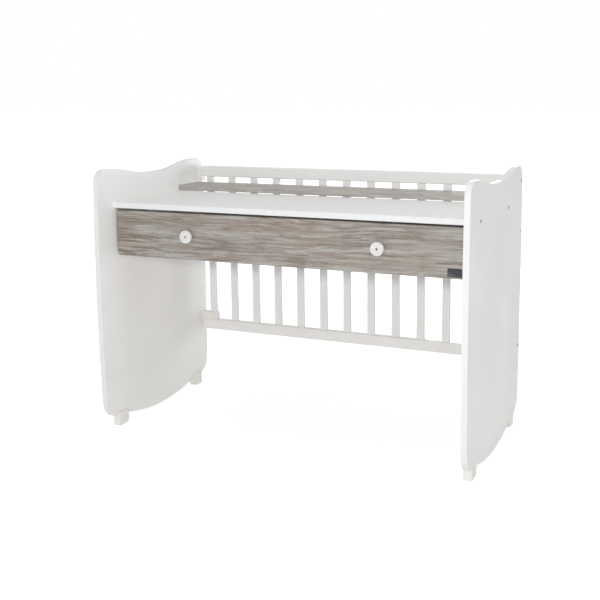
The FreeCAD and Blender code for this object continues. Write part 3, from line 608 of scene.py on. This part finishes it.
def cams():
    """Cam fittings with a dished face and a cross slot."""
    work = bmesh.new()
    x, y, z = CAM_AT
    for sign in (-1, 1):
        profile = [
            (CAM_DEEP, round_ring(CAM_RADIUS)),
            (0.0, round_ring(CAM_RADIUS)),
            (0.0, round_ring(CAM_RADIUS - CAM_RIM)),
            (CAM_DISH, round_ring(CAM_RADIUS - CAM_RIM - CAM_DISH)),
            (CAM_DISH, cross(*CAM_SLOT)),
            (CAM_SLOT_DEEP, cross(*CAM_SLOT)),
        ]
        turned(work, Vector((sign * x, y, z)), Vector((sign, 0, 0)), profile, CAM_STEPS)
    piece = mesh_piece("slotted_cams", work, looks["steel"], "drawer")
    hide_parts("drawer_cams")


# Stage
FLOOR_HALF = 60.0
FLOOR_GLOW = (0.62, 0.85)
FLOOR_GLOW_REACH = (0.9, 3.5)
FLOOR_SEEN = 0.6
FLOOR_PALE = 0.95
FLOOR_ROUGH = 0.9


def seen_directly(tree):
    """1 where the camera, or a mirror or glass, looks."""
    path = add(tree, "LightPath").outputs
    seen = maths(tree, "MAXIMUM", path["Is Camera Ray"], path["Is Glossy Ray"])
    return maths(tree, "MAXIMUM", seen, path["Is Transmission Ray"])


def grey(level):
    return (level, level, level, 1.0)


def make_floor():
    """A pale floor that looks white, and keeps a soft shadow."""
    work = bmesh.new()
    corners = [(-1, -1), (1, -1), (1, 1), (-1, 1)]
    work.faces.new([work.verts.new((x * FLOOR_HALF, y * FLOOR_HALF, 0.0)) for x, y in corners])
    data = bpy.data.meshes.new("floor")
    work.to_mesh(data)
    work.free()
    made, tree, shader = new_material("floor")
    shader.inputs["Base Color"].default_value = grey(FLOOR_PALE)
    shader.inputs["Roughness"].default_value = FLOOR_ROUGH
    level = span(tree, length(tree, place_on(tree)), *FLOOR_GLOW_REACH, *FLOOR_GLOW)
    glow = add(tree, "Emission", {"Color": grey(1.0), "Strength": level}).outputs["Emission"]
    soft = add(tree, "BsdfDiffuse", {"Color": grey(FLOOR_SEEN)}).outputs["BSDF"]
    bright = add(tree, "AddShader", {0: glow, 1: soft}).outputs["Shader"]
    shown = add(tree, "MixShader", {0: seen_directly(tree), 1: shader.outputs["BSDF"], 2: bright})
    feed(tree, tree.nodes["Material Output"].inputs["Surface"], shown.outputs["Shader"])
    data.materials.append(made)
    floor = bpy.data.objects.new("floor", data)
    scene.collection.objects.link(floor)


SKY_BACK = 0.38
SKY_FRONT = 0.55
SKY_TOP = 0.15
SKY_TURN = (0.2, -1.0)


def make_world():
    """White where it is looked at, and elsewhere a soft light, stronger from the front and from above."""
    world = bpy.data.worlds.new("studio")
    world.use_nodes = True
    tree = world.node_tree
    sky = tree.nodes["Background"]
    sky.inputs["Color"].default_value = grey(1.0)
    way = split(tree, add(tree, "TexCoord").outputs["Generated"])
    front = span(tree, way["Y"], *SKY_TURN, SKY_BACK, SKY_FRONT)
    level = maths(tree, "ADD", front, span(tree, way["Z"], 0.0, 1.0, 0.0, SKY_TOP))
    feed(tree, sky.inputs["Strength"], level)
    white = add(tree, "Background", {"Color": grey(1.0), "Strength": 1.0}).outputs["Background"]
    shown = add(tree, "MixShader", {0: seen_directly(tree), 1: sky.outputs["Background"], 2: white})
    feed(tree, tree.nodes["World Output"].inputs["Surface"], shown.outputs["Shader"])
    scene.world = world


def soft_box(name, at, aim, size, watts):
    """A square area lamp that looks at a point."""
    data = bpy.data.lights.new(name, "AREA")
    data.shape = "SQUARE"
    data.size = size
    data.energy = watts
    lamp = bpy.data.objects.new(name, data)
    scene.collection.objects.link(lamp)
    lamp.visible_camera = False
    lamp.location = at
    lamp.rotation_mode = "QUATERNION"
    lamp.rotation_quaternion = (Vector(aim) - Vector(at)).to_track_quat("-Z", "Y")


make_camera()
dress_nodes()
for side in ("left", "right"):
    knob("knob_" + side)
plate()
bolts()
cams()
make_floor()
make_world()
soft_box("front_box", at=(1.2, -3.4, 1.4), aim=(0.0, 0.0, 0.4), size=0.25, watts=49.0)
soft_box("back_box", at=(0.05, 3.0, 0.7), aim=(0.0, 0.0, 0.45), size=1.0, watts=32.0)
soft_box("left_box", at=(-3.2, 0.0, 0.9), aim=(0.0, 0.0, 0.45), size=1.2, watts=14.0)
soft_box("top_box", at=(1.2, 0.2, 3.2), aim=(0.1, 0.0, 0.5), size=2.0, watts=15.0)

scene.view_settings.view_transform = "Standard"
